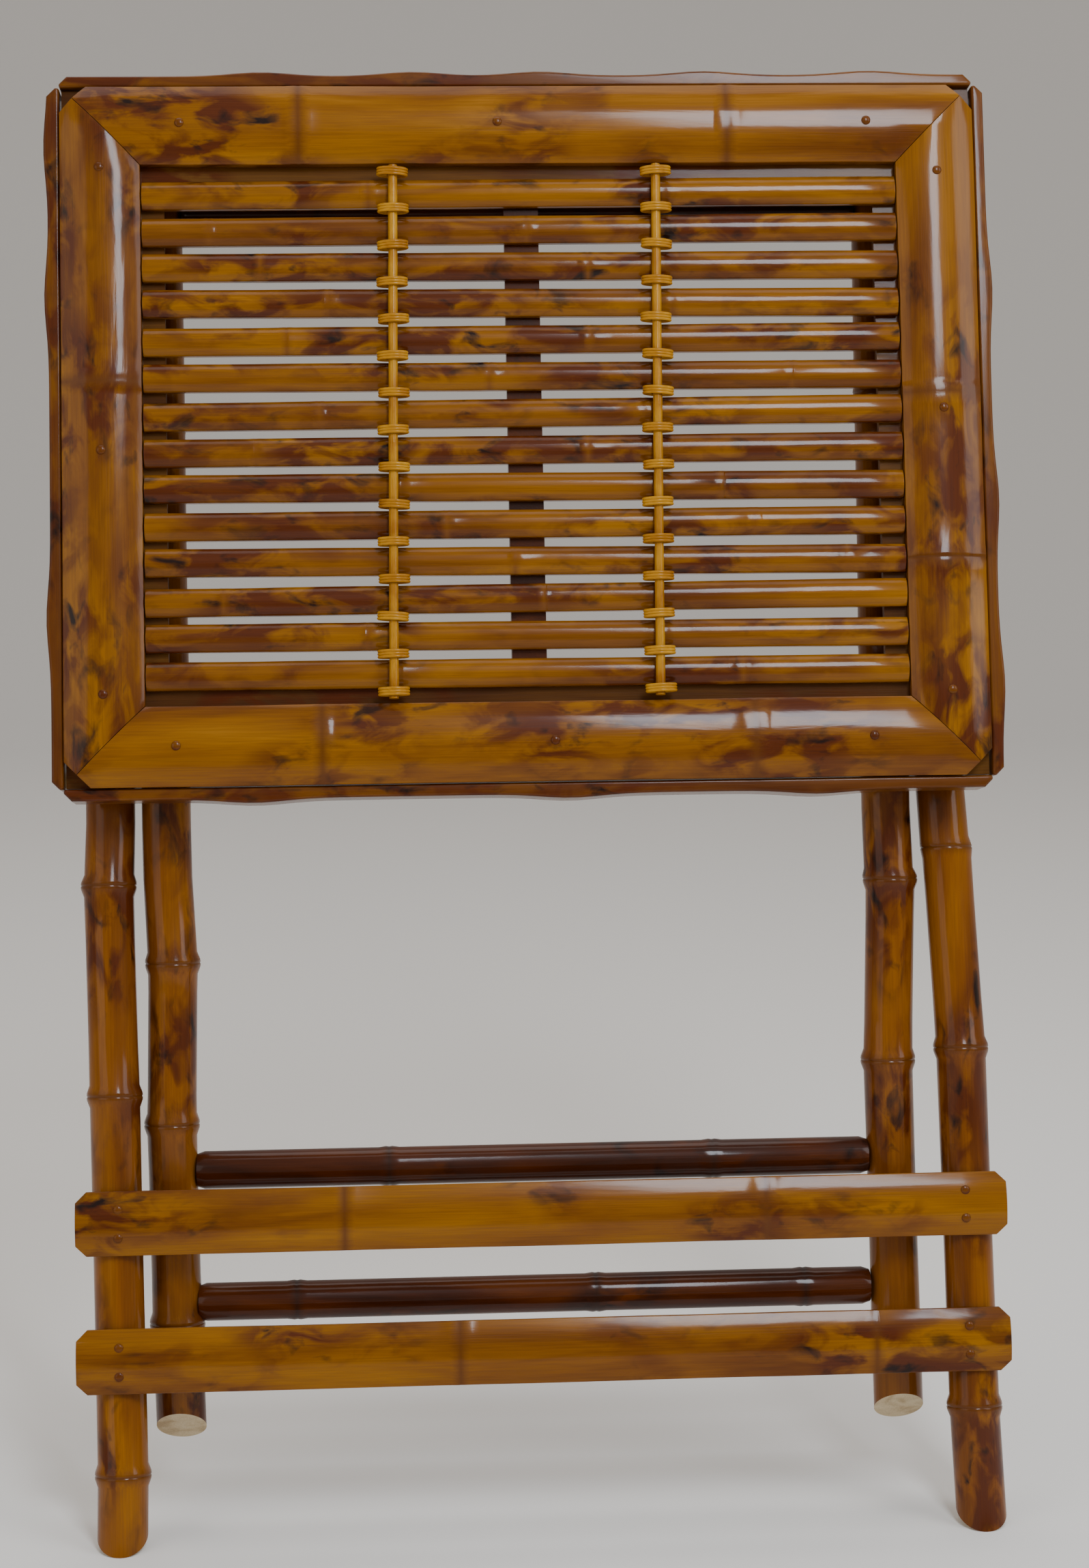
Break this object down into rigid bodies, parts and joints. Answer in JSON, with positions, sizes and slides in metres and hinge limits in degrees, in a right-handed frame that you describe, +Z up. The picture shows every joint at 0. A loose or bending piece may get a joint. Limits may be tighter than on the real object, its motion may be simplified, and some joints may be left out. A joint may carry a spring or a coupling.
{
  "type": "folding tray table",
  "caption": "Folding tray table of lacquered bamboo: a framed, slatted tray hinged on crossed legs, shown folded flat.",
  "frame": {"origin": "bottom centre of the folded table's box, on the floor", "axes": "+X to the right, the tray face looks towards -Y, +Z up"},
  "size_m": [0.55, 0.213, 0.8373],
  "materials": {
    "pole_bamboo": "round bamboo pole, scorched and thickly lacquered",
    "split_bamboo": "split bamboo with flame marks, glossy lacquer",
    "dark_bamboo": "dark scorched bamboo, glossy lacquer",
    "ledge_bamboo": "plain split bamboo, satin",
    "rattan": "rattan core and cane wraps, satin",
    "fixings": "dull brass"
  },
  "bodies": {
    "outer_frame": {"outer_leg_left": "pole_bamboo", "outer_leg_right": "pole_bamboo", "upper_stretcher": "split_bamboo", "lower_stretcher": "split_bamboo", "scissor_bolt_left": "fixings", "scissor_bolt_right": "fixings"},
    "inner_frame": {"inner_leg_left": "pole_bamboo", "inner_leg_right": "pole_bamboo", "upper_rung": "dark_bamboo", "lower_rung": "dark_bamboo"},
    "crossbar": {"top_crossbar": "dark_bamboo"},
    "tray": {"moulding_top": "split_bamboo", "moulding_right": "split_bamboo", "moulding_bottom": "split_bamboo", "moulding_left": "split_bamboo", "edge_fascia_top": "split_bamboo", "edge_fascia_right": "split_bamboo", "edge_fascia_bottom": "split_bamboo", "edge_fascia_left": "split_bamboo", "ledge_top": "ledge_bamboo", "ledge_bottom": "ledge_bamboo", "ledge_left": "ledge_bamboo", "ledge_right": "ledge_bamboo", "slat_01": "split_bamboo", "slat_02": "split_bamboo", "slat_03": "split_bamboo", "slat_04": "split_bamboo", "slat_05": "split_bamboo", "slat_06": "split_bamboo", "slat_07": "split_bamboo", "slat_08": "split_bamboo", "slat_09": "split_bamboo", "slat_10": "split_bamboo", "slat_11": "split_bamboo", "slat_12": "split_bamboo", "slat_13": "split_bamboo", "slat_14": "split_bamboo", "centre_batten": "dark_bamboo", "rattan_core_left": "rattan", "hinge_cheek_left": "dark_bamboo", "hinge_pin_left": "fixings", "stop_cleat_left": "dark_bamboo", "rattan_core_right": "rattan", "hinge_cheek_right": "dark_bamboo", "hinge_pin_right": "fixings", "stop_cleat_right": "dark_bamboo"}
  },
  "joints": [
    {"name": "scissor", "type": "hinge", "parent": "outer_frame", "child": "inner_frame", "pos_m": [0, 0.00738, 0.42881], "axis": [1, 0, 0], "range_deg": [0, 52.88]},
    {"name": "crossbar_turn", "type": "hinge", "parent": "inner_frame", "child": "crossbar", "pos_m": [0, 0.05916, 0.75574], "axis": [1, 0, 0], "range_deg": [-107.63, 0.5]},
    {"name": "tray_slide", "type": "slide", "parent": "crossbar", "child": "tray", "axis": [0, 0.225, 0.9744], "range_m": [-0.001, 0.30419]}
  ],
  "couplings": [
    {"joint": "crossbar_turn", "follows": "scissor", "ratio": -2.0257},
    {"joint": "tray_slide", "follows": "scissor", "m_per_rad": 0.32848}
  ]
}
